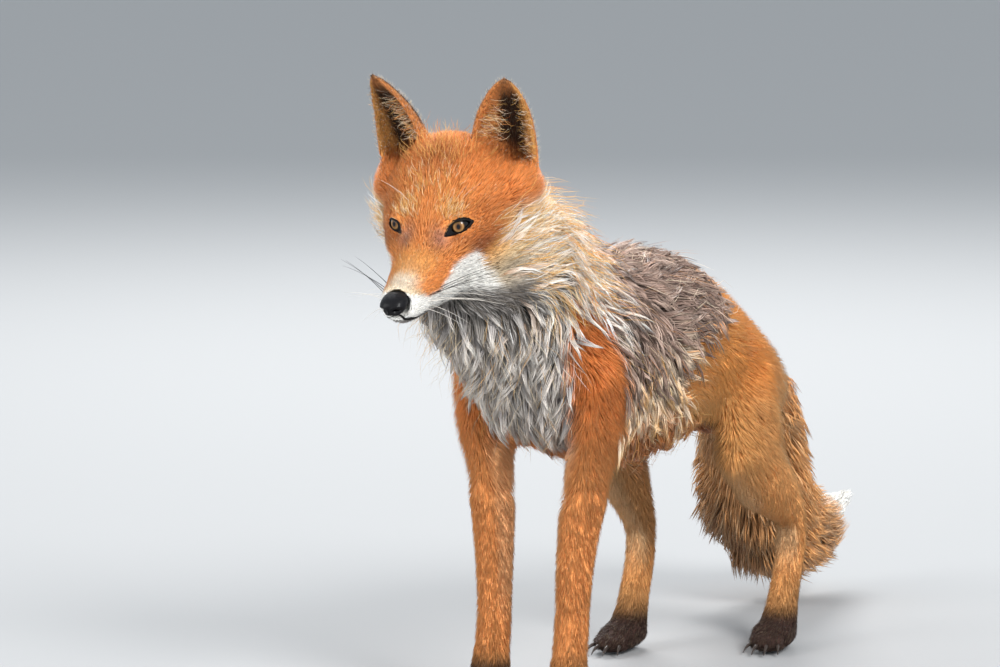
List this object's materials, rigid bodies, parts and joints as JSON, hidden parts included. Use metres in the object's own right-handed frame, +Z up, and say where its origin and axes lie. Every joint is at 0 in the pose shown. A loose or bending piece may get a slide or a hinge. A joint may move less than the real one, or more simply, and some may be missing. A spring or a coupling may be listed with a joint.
{
  "type": "fox",
  "caption": "Life-size red fox standing still in its summer moult, head raised and watching, a hind leg stepping in under the belly and a full brush hanging behind.",
  "frame": {"origin": "on the floor, under the middle of the fox's bounding box", "axes": "the fox faces -Y, its left side is +X, +Z is up; +Y runs along its length to the tail"},
  "size_m": [0.1986, 0.8554, 0.5077],
  "materials": {
    "fur_orange": "short saturated orange coat, matte",
    "fur_cream": "cream to white ruff, lips and chin, matte",
    "fur_grey": "matted grey-brown moulting coat of the back and flanks",
    "fur_brush": "long pale tan and brown hair of the tail, white at its tip",
    "fur_dark": "dark brown hair of the ear backs and paws",
    "nose": "moist black leather of the nose pad",
    "eye": "wet amber eye with a dark upright pupil"
  },
  "bodies": {
    "root": {"chest": "fur_grey", "ear_left": "fur_dark", "ear_right": "fur_dark", "eye_left": "eye", "eye_right": "eye", "forearm_left": "fur_orange", "forearm_right": "fur_orange", "forepaw_left": "fur_dark", "forepaw_right": "fur_dark", "head": "fur_orange", "hindpaw_left": "fur_dark", "hindpaw_right": "fur_dark", "hock_left": "fur_orange", "hock_right": "fur_orange", "jaw": "fur_cream", "loin": "fur_grey", "muzzle": "fur_orange", "neck": "fur_cream", "nose": "nose", "rump": "fur_grey", "shank_left": "fur_orange", "shank_right": "fur_orange", "shoulder_left": "fur_orange", "shoulder_right": "fur_orange", "tail_middle": "fur_brush", "tail_root": "fur_brush", "tail_tip": "fur_brush", "thigh_left": "fur_orange", "thigh_right": "fur_orange"}
  },
  "joints": []
}
